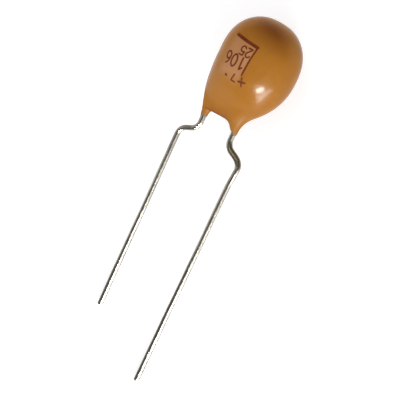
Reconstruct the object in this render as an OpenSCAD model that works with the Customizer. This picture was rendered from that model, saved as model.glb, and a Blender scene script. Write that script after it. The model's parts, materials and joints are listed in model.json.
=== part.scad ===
// Tantalum bead capacitor with two kinked radial leads, dipped in one drop of resin.
// Every piece is drawn upright first: the leads hang down -Z, the coat's crown is up +Z,
// X runs from the negative lead to the positive one, and Z = 0 is the seating plane,
// where the outer straights of the leads begin.  The whole is then laid on its back,
// as it comes to rest on a bench: crown toward +Y, marked face up, origin on the bench
// under the middle of the part.

/* [Leads] */
// Diameter of the tinned wire
wire_d = 0.5; // [0.4:0.05:0.8]
// Distance between the two leads at the circuit board
board_pitch = 6.35; // [5.08:0.01:7.62]
// Distance between the two leads where they leave the coat
exit_pitch = 3.2; // [2.54:0.02:4]
// Height of the kink from its lower corner to its upper corner
kink_rise = 0.74; // [0.5:0.02:1.4]
// Radius of each corner of the kink, on the wire's centre line
kink_r = 0.95; // [0.4:0.05:1.1]
// How much thicker than the wire the squeezed corners of the kink are
kink_swell = 0.02; // [0.01:0.005:0.04]
// Length of the negative lead below the seating plane
negative_len = 17.6; // [8:0.1:30]
// Length of the positive lead below the seating plane
positive_len = 21.45; // [9:0.05:32]
// Chamfer that the cutter leaves round each lead's tip
tip_chamfer = 0.05; // [0.02:0.01:0.12]

/* [Slug] */
// Diameter of the sintered tantalum slug
slug_d = 4.48; // [3.6:0.02:4.8]
// Length of the slug
slug_len = 3.6; // [3:0.05:4.8]
// Radius of the slug's two edges
slug_edge_r = 0.2; // [0.05:0.01:0.4]
// Height of the slug's foot above the seating plane
slug_lift = 5.8; // [5.4:0.02:6.4]
// Diameter of the tantalum riser wire
riser_d = 0.4; // [0.3:0.02:0.5]
// Depth that the riser wire reaches into the slug
riser_depth = 2.2; // [1:0.05:2.8]
// How far the two round wires are pressed into each other at the weld
weld_press = 0.04; // [0.01:0.01:0.08]
// Length of the weld between riser wire and positive lead
weld_len = 1.2; // [0.6:0.05:1.4]
// Gap between the slug's washer and the top of the positive lead
weld_gap = 0.35; // [0.2:0.01:0.6]
// Outer diameter of the insulating washer
washer_d = 1.2; // [0.8:0.02:1.8]
// Thickness of the insulating washer
washer_t = 0.25; // [0.15:0.01:0.4]

/* [Cathode layers] */
// Thickness of the manganese dioxide skin
dioxide_t = 0.1; // [0.05:0.01:0.15]
// Thickness of the graphite coat
graphite_t = 0.07; // [0.05:0.01:0.12]
// Thickness of the silver coat
silver_t = 0.08; // [0.05:0.01:0.12]
// Thickness of the solder coat
solder_t = 0.1; // [0.08:0.01:0.14]
// How much shorter each layer stops than the one beneath it
layer_step = 0.2; // [0.1:0.01:0.3]
// Solder left between the silver coat and the negative lead
solder_film = 0.05; // [0.02:0.01:0.07]
// Solder that wets the outside of the negative lead
solder_wet = 0.1; // [0.06:0.01:0.16]
// Radius of the solder fillet between lead and slug
solder_fillet_r = 0.5; // [0.2:0.05:0.8]
// Height of the top of the negative lead above the slug's foot
negative_reach = 2.8; // [1.5:0.05:3.4]

/* [Coat] */
// Resin outside the solder at the widest level, across the leads
coat_side = 0.85; // [0.7:0.01:1.2]
// Resin outside the solder at the widest level, front and back
coat_face = 0.61; // [0.5:0.01:1]
// Resin over the crown of the soldered slug
coat_crown = 1.99; // [1.4:0.01:2.6]
// Resin under the slug's foot, down to the underside of the drop
coat_foot = 3.2; // [2.8:0.01:3.6]
// Height of the widest level above the middle of the slug
waist_rise = 0.32; // [0:0.02:0.8]
// How far the drop's axis hangs off the slug's axis, toward the negative lead
coat_sag = 0.19; // [0:0.01:0.3]
// How far the drop's foot hangs off the middle of the leads, toward the negative lead
foot_sag = 0.34; // [0:0.01:0.6]
// Fullness of the crown's outline across the leads: 2 is an ellipse, more is squarer
crown_fullness = 2.3; // [2:0.05:2.8]
// Fullness of the foot's outline across the leads: 2 is an ellipse, more is squarer
foot_fullness = 2.4; // [2:0.05:2.8]
// Height at which the drop reaches its full thickness, front to back
web_high = 7.3; // [6.6:0.05:7.8]
// Height at which the web between the leads would be thinnest
web_low = 1.9; // [1.6:0.05:2.2]
// Radius of the web's edge there, and half its thickness
web_r = 0.3; // [0.26:0.01:0.4]
// Softness of the join between the drop and the positive horn
positive_blend = 0.9; // [0.4:0.01:1.2]
// Softness of the join between the drop and the negative horn
negative_blend = 0.7; // [0.3:0.01:1.2]

/* [Horns] */
// Resin film left on the wire at the end of each horn
horn_film = 0.04; // [0.03:0.005:0.08]
// Height of the negative horn's end above the seating plane
negative_horn_lift = 1.85; // [1.5:0.01:2.1]
// Height of the positive horn's end above the seating plane
positive_horn_lift = 1.75; // [1.5:0.01:2.1]
// Length of the negative horn before it runs out in the drop
negative_horn_len = 1.9; // [1:0.05:2.6]
// Length of the positive horn before it runs out in the drop
positive_horn_len = 2; // [1:0.05:2.6]
// Growth of the negative horn's radius per length
negative_flare = 0.095; // [0.05:0.005:0.3]
// Growth of the positive horn's radius per length
positive_flare = 0.155; // [0.05:0.005:0.3]
// Share of its growth by which the negative horn leans outward
negative_lean = 0.95; // [0:0.05:1]
// Share of its growth by which the positive horn leans inward
positive_lean = 0.95; // [0:0.05:1]

/* [Facets] */
// Points round the drop, shared out evenly between the two horns
round_points = 80; // [32:4:96]
// Rings between the arch and the crown
drop_rings = 34; // [16:2:44]
// Rings down each horn
horn_rings = 9; // [5:1:14]

/* [Hidden] */
$fn = 96;
bite = 1;
wire_r = wire_d / 2;
exit_x = exit_pitch / 2;
board_x = board_pitch / 2;
kink_angle = atan2(board_x - exit_x, kink_rise);
kink_tangent = kink_r * tan(kink_angle / 2);
kink_slope_len = norm([board_x - exit_x, kink_rise]) - 2 * kink_tangent;
kink_wire_r = (wire_d + kink_swell) / 2;
socket = kink_swell;

// Layers from the slug outward, each with its radius, crown height and open foot.
slug_r = slug_d / 2;
slug_top = slug_lift + slug_len;
dioxide_r = slug_r + dioxide_t;
graphite_r = dioxide_r + graphite_t;
silver_r = graphite_r + silver_t;
solder_r = silver_r + solder_t;
dioxide_top = slug_top + dioxide_t;
graphite_top = dioxide_top + graphite_t;
silver_top = graphite_top + silver_t;
solder_top = silver_top + solder_t;
graphite_foot = slug_lift + layer_step;
silver_foot = graphite_foot + layer_step;
solder_foot = silver_foot + layer_step;

// The negative lead lies against the slug, the riser against the positive lead.
slug_x = -exit_x + wire_r + solder_film + silver_r;
riser_r = riser_d / 2;
riser_spacing = wire_r + riser_r - weld_press;
riser_x = exit_x - riser_spacing;
weld_plane = (riser_spacing * riser_spacing + wire_r * wire_r - riser_r * riser_r) / (2 * riser_spacing);
weld_top = slug_lift - washer_t - weld_gap;
weld_foot = weld_top - weld_len;
negative_top = slug_lift + negative_reach;

// The drop: an egg that thins into a web between the leads, and a horn on each lead.
drop_x = slug_x - coat_sag;
drop_half_w = solder_r + coat_side;
drop_half_t = solder_r + coat_face;
waist_z = slug_lift + slug_len / 2 + waist_rise;
crown_h = solder_top + coat_crown - waist_z;
foot_h = waist_z - slug_lift + coat_foot;
crown_z = waist_z + crown_h;
horn_end_r = wire_r + horn_film;

half_points = round_points / 2;
far = 2 * drop_half_w;
halvings = 20;

// ---- The drop as a field: below zero inside the resin, above zero outside ----

// The smaller of two fields, with the crease between them rounded over the width k.
function soft_min(a, b, k) =
    let (near = max(k - abs(a - b), 0) / k)
    min(a, b) - near * near * k / 4;

// Rises from 0 at the low height to 1 at the high one, level at both.
function smooth_rise(low, high, z) =
    let (t = min(max((z - low) / (high - low), 0), 1))
    t * t * (3 - 2 * t);

// An egg whose outline across the leads has its own height and fullness for crown and foot.
// Below its widest level the outline drifts back between the leads, by the square of the depth,
// and the egg flattens into a web: the radius of its edge and half its thickness both shrink
// toward those of the horns.
function egg_field(x, y, z) =
    let (
        crown = z > waist_z,
        n = crown ? crown_fullness : foot_fullness,
        far_up = abs(z - waist_z) / (crown ? crown_h : foot_h),
        sunk = crown ? 0 : far_up * far_up,
        axis = drop_x - (drop_x + foot_sag) * sunk,
        far_out = abs(x - axis) / drop_half_w,
        outline = (pow(pow(far_out, n) + pow(far_up, n), 1 / n) - 1) * drop_half_w,
        swell = smooth_rise(web_low, web_high, z),
        edge_r = web_r + (drop_half_w - web_r) * swell,
        half_t = web_r + (drop_half_t - web_r) * swell
    )
    norm([max(outline + edge_r, 0), y * edge_r / half_t]) - edge_r;

// A sleeve that widens up the wire, leans to one side and ends in a dome.
function horn_field(x, y, z, wire_x, foot, len, flare, lean) =
    let (grown = flare * min(max(z - foot, 0), len))
    norm([x - wire_x - lean * grown, y, max(z - foot - len, 0)]) - horn_end_r - grown;

function drop_field(x, y, z) =
    let (
        positive = horn_field(x, y, z, exit_x, positive_horn_lift, positive_horn_len,
            positive_flare, -positive_lean),
        negative = horn_field(x, y, z, -exit_x, negative_horn_lift, negative_horn_len,
            negative_flare, -negative_lean)
    )
    soft_min(soft_min(egg_field(x, y, z), positive, positive_blend), negative, negative_blend);

// ---- The drop's skin, as rings of points found on the field by halving ----

// Distance from a centre along a level direction to the skin.
function reach(cx, dx, dy, z, lo, hi, left) =
    let (mid = (lo + hi) / 2)
    left == 0 ? mid
    : drop_field(cx + mid * dx, mid * dy, z) < 0 ? reach(cx, dx, dy, z, mid, hi, left - 1)
    : reach(cx, dx, dy, z, lo, mid, left - 1);

function skin_point(cx, angle, z, limit) =
    let (r = reach(cx, cos(angle), sin(angle), z, 0, limit, halvings))
    [cx + r * cos(angle), r * sin(angle), z];

// The saddle under the arch is the lowest level at which both horns are joined.
arch_steps = 40;
arch_xs = [for (i = [1 : arch_steps - 1]) -exit_x + exit_pitch * i / arch_steps];
function arch_field(z) = max([for (x = arch_xs) drop_field(x, 0, z)]);
function find_saddle(lo, hi, left) =
    let (mid = (lo + hi) / 2)
    left == 0 ? hi : arch_field(mid) > 0 ? find_saddle(mid, hi, left - 1) : find_saddle(lo, mid, left - 1);
saddle_z = find_saddle(max(negative_horn_lift, positive_horn_lift), waist_z, halvings);
saddle_fields = [for (x = arch_xs) drop_field(x, 0, saddle_z)];
saddle_x = arch_xs[search(max(saddle_fields), saddle_fields)[0]];

// One point of a horn's ring, seen from the wire's axis; point 0 faces the other horn.
function horn_point(side, i, z) =
    let (
        wire_x = side * exit_x,
        angle = (side > 0 ? 180 : 0) + 360 * i / half_points,
        inward = -side * cos(angle),
        limit = inward > 0.001 ? min(far, abs(saddle_x - wire_x) / inward) : far
    )
    skin_point(wire_x, angle, z, limit);

// One ring of the drop, seen from a centre that moves from the saddle to the drop's axis.
function drop_ring(z) =
    let (
        share = min((z - saddle_z) / (waist_z - saddle_z), 1),
        cx = saddle_x + (drop_x - saddle_x) * share
    )
    [for (i = [0 : round_points - 1]) skin_point(cx, -90 + 360 * i / round_points, z, far)];

ring_zs = [
    for (i = [1 : drop_rings])
        saddle_z + (crown_z - saddle_z) * (1 - cos(180 * i / (drop_rings + 1))) / 2
];
function horn_z(end_z, i) = saddle_z + (end_z - saddle_z) * i / horn_rings;
function horn_ring(side, z) = [for (i = [0 : half_points - 1]) horn_point(side, i, z)];

// Where each run of points starts in the list.
positive_start = 1;
negative_start = positive_start + half_points - 1;
rings_start = negative_start + half_points - 1;
crown_index = rings_start + drop_rings * round_points;
positive_rings_start = crown_index + 1;
negative_rings_start = positive_rings_start + horn_rings * half_points;

drop_points = concat(
    [[saddle_x, 0, saddle_z]],
    [for (i = [1 : half_points - 1]) horn_point(1, i, saddle_z)],
    [for (i = [1 : half_points - 1]) horn_point(-1, i, saddle_z)],
    [for (z = ring_zs) each drop_ring(z)],
    [[drop_x, 0, crown_z]],
    [for (i = [1 : horn_rings]) each horn_ring(1, horn_z(positive_horn_lift, i))],
    [for (i = [1 : horn_rings]) each horn_ring(-1, horn_z(negative_horn_lift, i))]
);

// The saddle's own level: the positive half first, then the negative, both from the saddle point.
function saddle_index(i) =
    i % half_points == 0 ? 0
    : i < half_points ? positive_start + i - 1
    : negative_start + i - half_points - 1;
function ring_index(ring, i) = rings_start + ring * round_points + i % round_points;
function horn_index(side, ring, i) =
    let (
        k = i % half_points,
        first = side > 0 ? positive_rings_start : negative_rings_start
    )
    ring > 0 ? first + (ring - 1) * half_points + k : saddle_index(side > 0 ? k : half_points + k);

drop_faces = concat(
    // The first ring above the saddle meets both halves of the saddle's level.
    [for (i = [0 : round_points - 1])
        [saddle_index(i), ring_index(0, i + 1), saddle_index(i + 1)]],
    [for (i = [0 : round_points - 1])
        [saddle_index(i), ring_index(0, i), ring_index(0, i + 1)]],
    [for (ring = [0 : drop_rings - 2], i = [0 : round_points - 1])
        each [
            [ring_index(ring, i), ring_index(ring + 1, i + 1), ring_index(ring, i + 1)],
            [ring_index(ring, i), ring_index(ring + 1, i), ring_index(ring + 1, i + 1)]
        ]],
    [for (i = [0 : round_points - 1])
        [ring_index(drop_rings - 1, i), crown_index, ring_index(drop_rings - 1, i + 1)]],
    [for (side = [1, -1], ring = [0 : horn_rings - 1], i = [0 : half_points - 1])
        each [
            [horn_index(side, ring, i), horn_index(side, ring, i + 1), horn_index(side, ring + 1, i + 1)],
            [horn_index(side, ring, i), horn_index(side, ring + 1, i + 1), horn_index(side, ring + 1, i)]
        ]],
    [for (side = [1, -1])
        [for (i = [0 : half_points - 1]) horn_index(side, horn_rings, i)]]
);

// ---- How the part comes to rest: on its belly and on both lead tips ----

// Down, as seen by the upright part, for one slope of the leads toward the bench.
// The sideways share lets the longer and the shorter lead touch at the same time.
function down_for(slope) =
    let (
        across = -slope * (positive_len - negative_len) / board_pitch,
        d = [across, 1, -slope]
    )
    d / norm(d);
function belly_depth(down) = max([for (p = drop_points) p * down]);
function tip_depth(down, x, len) =
    [x, 0, tip_chamfer - len] * down + wire_r * norm([down[0], down[1]]);
function rest_slope(lo, hi, left) =
    let (
        mid = (lo + hi) / 2,
        down = down_for(mid)
    )
    left == 0 ? mid
    : tip_depth(down, board_x, positive_len) < belly_depth(down) ? rest_slope(mid, hi, left - 1)
    : rest_slope(lo, mid, left - 1);
down = down_for(rest_slope(0, 0.6, 14));

// The bench's axes, as seen by the upright part.
up_axis = -down;
crown_axis = let (v = [0, 0, 1] - up_axis[2] * up_axis) v / norm(v);
side_axis = cross(crown_axis, up_axis);
rest_turn = [
    atan2(up_axis[1], up_axis[2]),
    -asin(up_axis[0]),
    atan2(crown_axis[0], side_axis[0])
];
tip_points = [
    [board_x + wire_r, 0, -positive_len],
    [board_x - wire_r, 0, -positive_len],
    [-board_x + wire_r, 0, -negative_len],
    [-board_x - wire_r, 0, -negative_len],
    [-board_x - wire_r, 0, 0]
];
side_reach = [for (p = concat(drop_points, tip_points)) p * side_axis];
crown_reach = [for (p = concat(drop_points, tip_points)) p * crown_axis];
rest_shift = [
    -(max(side_reach) + min(side_reach)) / 2,
    -(max(crown_reach) + min(crown_reach)) / 2,
    belly_depth(down)
];

module at_rest() {
    translate(rest_shift)
        rotate(rest_turn)
            children();
}

// ---- Shapes shared by the pieces ----

// Section of a round body that stands on its foot, with its crown's edge rounded.
module round_section(r, foot, top, edge) {
    translate([0, foot])
        square([r, top - foot - edge]);
    translate([0, top - edge - bite * edge])
        square([r - edge, edge + bite * edge]);
    intersection() {
        translate([r - edge, top - edge])
            circle(edge);
        translate([r - edge, top - edge])
            square([edge, edge]);
    }
}

module round_body(r, foot, top, edge) {
    translate([slug_x, 0, 0])
        rotate_extrude()
            round_section(r, foot, top, edge);
}

// One corner of the kink, squeezed a little thicker than the straights that end in it.
module kink_corner(start) {
    rotate([90, 0, 0])
        rotate_extrude(angle = kink_angle, start = start)
            translate([kink_r, 0])
                circle(kink_wire_r);
}

// One lead from its cut tip to its top end; side is +1 or -1.
module lead(side, len, top) {
    mirror([side > 0 ? 0 : 1, 0, 0]) {
        translate([board_x, 0, -len])
            rotate_extrude()
                polygon([
                    [0, 0],
                    [wire_r - tip_chamfer, 0],
                    [wire_r, tip_chamfer],
                    [wire_r, len - kink_tangent + socket],
                    [0, len - kink_tangent + socket]
                ]);
        translate([board_x - kink_r, 0, -kink_tangent])
            kink_corner(0);
        translate([board_x, 0, 0])
            rotate([0, -kink_angle, 0])
                translate([0, 0, kink_tangent - socket])
                    cylinder(h = kink_slope_len + 2 * socket, r = wire_r);
        translate([exit_x + kink_r, 0, kink_rise + kink_tangent])
            kink_corner(180);
        translate([exit_x, 0, kink_rise + kink_tangent - socket])
            cylinder(h = top - kink_rise - kink_tangent + socket, r = wire_r);
    }
}

// Everything on the riser's side of the plane in which the two wires are welded.
module riser_side() {
    translate([exit_x - weld_plane - bite, -bite, weld_foot])
        cube([bite, 2 * bite, weld_len + weld_gap + washer_t]);
}

module positive_shape() {
    difference() {
        lead(1, positive_len, weld_top);
        riser_side();
    }
}

module negative_shape() {
    lead(-1, negative_len, negative_top);
}

module riser_shape() {
    difference() {
        translate([riser_x, 0, weld_foot])
            cylinder(h = slug_lift + riser_depth - weld_foot, r = riser_r);
        translate([exit_x - weld_plane, -bite, weld_foot - bite])
            cube([bite, 2 * bite, weld_len + bite]);
    }
}

module washer_shape() {
    translate([riser_x, 0, slug_lift - washer_t])
        difference() {
            cylinder(h = washer_t, r = washer_d / 2);
            translate([0, 0, -bite])
                cylinder(h = washer_t + 2 * bite, r = riser_r);
        }
}

module slug_body() {
    round_body(slug_r, slug_lift, slug_top, slug_edge_r);
}

module dioxide_body() {
    round_body(dioxide_r, slug_lift - dioxide_t, dioxide_top, slug_edge_r + dioxide_t);
}

module graphite_body(foot = graphite_foot) {
    round_body(graphite_r, foot, graphite_top, slug_edge_r + dioxide_t + graphite_t);
}

module silver_body(foot = silver_foot) {
    round_body(silver_r, foot, silver_top, slug_edge_r + dioxide_t + graphite_t + silver_t);
}

// Everything that the solder covers, filled in: the silver, the lead and the fillets between.
module solder_outline() {
    wet_r = wire_r + solder_wet;
    wet_len = negative_top + solder_wet - solder_foot;
    span = slug_x + exit_x;
    to_slug = solder_r + solder_fillet_r;
    to_lead = wet_r + solder_fillet_r;
    along = (span * span + to_lead * to_lead - to_slug * to_slug) / (2 * span);
    aside = sqrt(to_lead * to_lead - along * along);
    round_body(solder_r, solder_foot, solder_top, slug_edge_r + solder_top - slug_top);
    translate([-exit_x, 0, solder_foot]) {
        cylinder(h = wet_len, r = wet_r);
        linear_extrude(height = wet_len)
            difference() {
                polygon([[0, 0], [along, -aside], [span, 0], [along, aside]]);
                translate([along, aside])
                    circle(solder_fillet_r);
                translate([along, -aside])
                    circle(solder_fillet_r);
            }
    }
}

// ---- The pieces ----

module resin_coat() {
    color([0.72, 0.44, 0.14])
        at_rest()
            difference() {
                polyhedron(points = drop_points, faces = drop_faces, convexity = 6);
                union() {
                    positive_shape();
                    negative_shape();
                    riser_shape();
                    translate([riser_x, 0, slug_lift - washer_t])
                        cylinder(h = washer_t, r = washer_d / 2);
                    dioxide_body();
                    graphite_body();
                    silver_body();
                    solder_outline();
                }
            }
}

module anode_slug() {
    color([0.35, 0.36, 0.38])
        at_rest()
            difference() {
                slug_body();
                translate([riser_x, 0, slug_lift - bite])
                    cylinder(h = riser_depth + bite, r = riser_r);
            }
}

module riser_wire() {
    color([0.45, 0.46, 0.5])
        at_rest()
            riser_shape();
}

module insulating_washer() {
    color([0.92, 0.92, 0.9])
        at_rest()
            washer_shape();
}

module dioxide_skin() {
    color([0.12, 0.11, 0.11])
        at_rest()
            difference() {
                dioxide_body();
                slug_body();
                translate([riser_x, 0, slug_lift - washer_t])
                    cylinder(h = washer_t, r = washer_d / 2);
            }
}

module graphite_coat() {
    color([0.2, 0.2, 0.21])
        at_rest()
            difference() {
                graphite_body();
                dioxide_body();
            }
}

module silver_coat() {
    color([0.78, 0.78, 0.76])
        at_rest()
            difference() {
                silver_body();
                graphite_body();
            }
}

module solder_coat() {
    color([0.62, 0.63, 0.64])
        at_rest()
            difference() {
                solder_outline();
                silver_body();
                negative_shape();
            }
}

module positive_lead() {
    color([0.75, 0.75, 0.76])
        at_rest()
            positive_shape();
}

module negative_lead() {
    color([0.75, 0.75, 0.76])
        at_rest()
            negative_shape();
}

resin_coat();
anode_slug();
riser_wire();
insulating_washer();
dioxide_skin();
graphite_coat();
silver_coat();
solder_coat();
positive_lead();
negative_lead();
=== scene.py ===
import json
import bpy
import numpy as np
from mathutils import Matrix


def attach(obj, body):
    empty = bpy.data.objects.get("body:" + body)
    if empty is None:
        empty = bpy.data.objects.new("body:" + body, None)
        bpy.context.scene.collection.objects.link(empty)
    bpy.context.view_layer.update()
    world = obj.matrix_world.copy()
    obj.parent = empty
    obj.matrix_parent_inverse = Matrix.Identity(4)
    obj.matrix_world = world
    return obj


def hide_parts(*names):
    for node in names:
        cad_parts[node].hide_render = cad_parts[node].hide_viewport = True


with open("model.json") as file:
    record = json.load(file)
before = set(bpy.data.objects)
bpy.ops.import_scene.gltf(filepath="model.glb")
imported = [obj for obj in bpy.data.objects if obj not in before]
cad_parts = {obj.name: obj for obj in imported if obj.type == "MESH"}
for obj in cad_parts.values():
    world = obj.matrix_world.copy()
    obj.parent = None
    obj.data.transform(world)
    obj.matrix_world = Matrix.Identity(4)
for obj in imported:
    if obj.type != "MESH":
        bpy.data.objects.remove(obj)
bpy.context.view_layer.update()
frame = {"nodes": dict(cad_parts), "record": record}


# ---- Resin coat ----
# One drop of filled epoxy.  The soldered slug hangs by its leads and is dipped crown first,
# so the drop is fullest low round the slug and runs out toward the leads, where it parts
# under an arch into a horn on each wire.  It cures glossy, with a faint ripple.

# Sizes are millimetres on the part stood upright: leads down -Z, crown up +Z, positive lead at
# +X, marked face toward -Y, and Z = 0 at the foot of the kinks.
EXIT_X = 1.6
WIRE_R = 0.25
FILM = 0.04
DROP_X = 1.0
HALF_W = 3.44
HALF_T = 3.2
WAIST_Z = 7.92
CROWN_H = 3.82
FOOT_H = 5.32
FOOT_SAG = 0.34
WEB_LOW = 1.9
WEB_HIGH = 7.3
WEB_R = 0.3
CROWN_FULLNESS = 2.3
FOOT_FULLNESS = 2.4
POSITIVE_BLEND = 0.9
NEGATIVE_BLEND = 0.5
POSITIVE_HORN = dict(wire_x=EXIT_X, foot=1.75, length=2.0, flare=0.155, lean=-0.95)
NEGATIVE_HORN = dict(wire_x=-EXIT_X, foot=1.85, length=3.4, flare=0.081, lean=-1.0)


def smooth_step(low, high, value):
    """0 below low, 1 above high, and the curve 3t² - 2t³ between them."""
    t = np.clip((value - low) / (high - low), 0, 1)
    return t * t * (3 - 2 * t)


def soft_min(a, b, width):
    """The smaller of two fields, with the crease between them rounded over the width."""
    near = np.maximum(width - np.abs(a - b), 0) / width
    return np.minimum(a, b) - near * near * width / 4


def egg_field(x, y, z):
    """An egg: its outline across the leads is a superellipse whose axis drifts back between the
    leads below the waist.  From there down it turns into a flat web: the outline is rounded
    over edge_r and filled to half_t, and both shrink to the horns' own radius."""
    crown = z > WAIST_Z
    up = np.abs(z - WAIST_Z) / np.where(crown, CROWN_H, FOOT_H)
    fullness = np.where(crown, CROWN_FULLNESS, FOOT_FULLNESS)
    axis = DROP_X - (DROP_X + FOOT_SAG) * np.where(crown, 0, up * up)
    swell = smooth_step(WEB_LOW, WEB_HIGH, z)
    edge_r = WEB_R + (HALF_W - WEB_R) * swell
    half_t = WEB_R + (HALF_T - WEB_R) * swell
    outline = (((np.abs(x - axis) / HALF_W) ** fullness + up**fullness) ** (1 / fullness) - 1) * HALF_W
    return np.hypot(np.maximum(outline + edge_r, 0), y * edge_r / half_t) - edge_r


def horn_field(x, y, z, wire_x, foot, length, flare, lean):
    """A sleeve that widens up the wire, leans to one side and ends in a dome."""
    grown = flare * np.clip(z - foot, 0, length)
    above = np.maximum(z - foot - length, 0)
    return np.sqrt((x - wire_x - lean * grown) ** 2 + y**2 + above**2) - WIRE_R - FILM - grown


def drop_field(x, y, z):
    """Below 0 inside the resin: the egg and both horns, run together."""
    both = soft_min(egg_field(x, y, z), horn_field(x, y, z, **POSITIVE_HORN), POSITIVE_BLEND)
    return soft_min(both, horn_field(x, y, z, **NEGATIVE_HORN), NEGATIVE_BLEND)


FAR = 2 * HALF_W
HALVINGS = 26
SADDLE_ABOVE = 2.0
ROUND_POINTS = 192
DROP_RINGS = 112
HORN_RINGS = 26
# Shares of a horn's length, from the saddle down, at which its film starts to thin and to pale,
# and how far inside the wire's surface the film's last ring ends.
THIN_FROM = 0.7
PALE_FROM = 0.55
IN_WIRE = 0.004


def reach(centre_x, angle, z, limit):
    """Distance from a centre along a level direction to the skin, by halving."""
    low = np.zeros(np.broadcast(centre_x, angle, z).shape)
    high = low + limit
    for _ in range(HALVINGS):
        middle = (low + high) / 2
        inside = drop_field(centre_x + middle * np.cos(angle), middle * np.sin(angle), z) < 0
        low = np.where(inside, middle, low)
        high = np.where(inside, high, middle)
    return (low + high) / 2


def polar(centre_x, angle, z, radius):
    """Points at a radius and angle round an upright line, as rows of x, y, z."""
    x = centre_x + radius * np.cos(angle)
    y = radius * np.sin(angle)
    return np.stack([x, y, z + 0 * x], axis=-1).reshape(-1, 3)


def find_saddle():
    """The lowest level at which both horns are joined, found by halving between horns and waist."""
    across = np.linspace(-EXIT_X, EXIT_X, 321)[1:-1]
    low = SADDLE_ABOVE
    high = WAIST_Z
    for _ in range(HALVINGS):
        middle = (low + high) / 2
        if drop_field(across, 0, middle).max() > 0:
            low = middle
        else:
            high = middle
    return across[np.argmax(drop_field(across, 0, high))], high


def positive_film_end(angle):
    """Height at which the film stops round the positive wire: one slow wave and two finer ones."""
    return 1.91 - 0.13 * np.cos(angle - 0.2) + 0.05 * np.sin(3 * angle + 1) + 0.03 * np.sin(7 * angle)


def negative_film_end(angle):
    """Height at which the film stops round the negative wire: one slow wave and two finer ones."""
    return 1.86 + 0.1 * np.cos(angle + 0.4) + 0.05 * np.sin(4 * angle + 2) + 0.03 * np.sin(9 * angle)


def horn_rings(side, horn, saddle_x, saddle_z, end_z):
    """Rings from the saddle's level down one wire, seen from the wire's axis.  Each column ends
    at its own height end_z(angle), where the film thins to nothing like a square root."""
    half = ROUND_POINTS // 2
    angle = np.pi * (side > 0) + 2 * np.pi * np.arange(half) / half
    inward = np.maximum(-side * np.cos(angle), 0.001)
    limit = np.minimum(FAR, abs(saddle_x - horn["wire_x"]) / inward)
    limit = np.where(inward > 0.001, limit, FAR)
    share = (np.arange(HORN_RINGS + 1) / HORN_RINGS)[:, None]
    z = saddle_z + (end_z(angle)[None, :] - saddle_z) * share
    radius = reach(horn["wire_x"], angle[None, :], z, limit[None, :])
    thin = np.sqrt(np.clip((1 - share) / (1 - THIN_FROM), 0, 1))
    inner = WIRE_R - IN_WIRE
    radius = np.where(share > THIN_FROM, inner + (radius - inner) * thin, radius)
    film = np.clip((share - PALE_FROM) / (1 - PALE_FROM), 0, 1) + 0 * z
    return polar(horn["wire_x"], angle[None, :], z, radius), film.ravel(), z[-1].mean()


def band(lower, upper):
    """Quads between two closed rings of vertex numbers of the same length."""
    return np.stack([lower, np.roll(lower, -1), np.roll(upper, -1), upper], axis=1)


def fan(ring, pole):
    """Triangles from a closed ring of vertex numbers to one vertex."""
    return np.stack([ring, np.roll(ring, -1), np.full(len(ring), pole)], axis=1)


def resin_mesh():
    """One drop that divides: level rings round the drop above the saddle, then two stacks of
    rings, one down each horn, and a pole at the crown and inside each wire."""
    half = ROUND_POINTS // 2
    saddle_x, saddle_z = find_saddle()
    crown_z = WAIST_Z + CROWN_H
    steps = np.arange(1, DROP_RINGS + 1) / (DROP_RINGS + 1)
    ring_z = (saddle_z + (crown_z - saddle_z) * (1 - np.cos(np.pi * steps)) / 2)[:, None]
    centre = saddle_x + (DROP_X - saddle_x) * np.minimum((ring_z - saddle_z) / (WAIST_Z - saddle_z), 1)
    angle = (-np.pi / 2 + 2 * np.pi * np.arange(ROUND_POINTS) / ROUND_POINTS)[None, :]
    drop = polar(centre, angle, ring_z, reach(centre, angle, ring_z, FAR))

    plus, plus_film, plus_z = horn_rings(1, POSITIVE_HORN, saddle_x, saddle_z, positive_film_end)
    minus, minus_film, minus_z = horn_rings(-1, NEGATIVE_HORN, saddle_x, saddle_z, negative_film_end)
    poles = np.array([[DROP_X, 0, crown_z], [EXIT_X, 0, plus_z], [-EXIT_X, 0, minus_z]])
    points = np.concatenate([drop, plus, minus, poles])
    film = np.concatenate([np.zeros(len(drop)), plus_film, minus_film, [0, 1, 1]])

    rings = np.arange(len(drop)).reshape(DROP_RINGS, ROUND_POINTS)
    plus_rings = len(drop) + np.arange(len(plus)).reshape(-1, half)
    minus_rings = len(drop) + len(plus) + np.arange(len(minus)).reshape(-1, half)
    crown_pole, plus_pole, minus_pole = len(points) - 3 + np.arange(3)
    # Both horns' first points are the saddle itself, so they share one vertex.
    points[plus_rings[0, 0]] = [saddle_x, 0, saddle_z]
    spare = minus_rings[0, 0]
    minus_rings[0, 0] = plus_rings[0, 0]
    level = np.concatenate([plus_rings[0], minus_rings[0]])

    quads = [band(level, rings[0])]
    quads += [band(rings[i], rings[i + 1]) for i in range(DROP_RINGS - 1)]
    for stack in (plus_rings, minus_rings):
        quads += [band(stack[i + 1], stack[i]) for i in range(HORN_RINGS)]
    fans = [fan(rings[-1], crown_pole), fan(plus_rings[-1][::-1], plus_pole)]
    fans += [fan(minus_rings[-1][::-1], minus_pole)]
    # The negative horn's own copy of that point is left out, and the numbers after it close up.
    kept = np.arange(len(points)) != spare
    renumber = np.cumsum(kept) - 1
    faces = renumber[np.concatenate(quads)].tolist() + renumber[np.concatenate(fans)].tolist()
    return points[kept], film[kept], faces, saddle_z


# The ripple's height, how fast each wave runs along x, y and z, where it starts, and the levels
# between which it fades.
RIPPLE = 0.012
RIPPLE_WAVES = np.array([[1.9, 0.0, 1.1], [0.0, -1.3, 2.3], [2.1, 1.6, -0.9]])
RIPPLE_STARTS = np.array([0.4, 1.7, 0.0])
RIPPLE_FADE = (3.0, 5.0)


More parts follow.
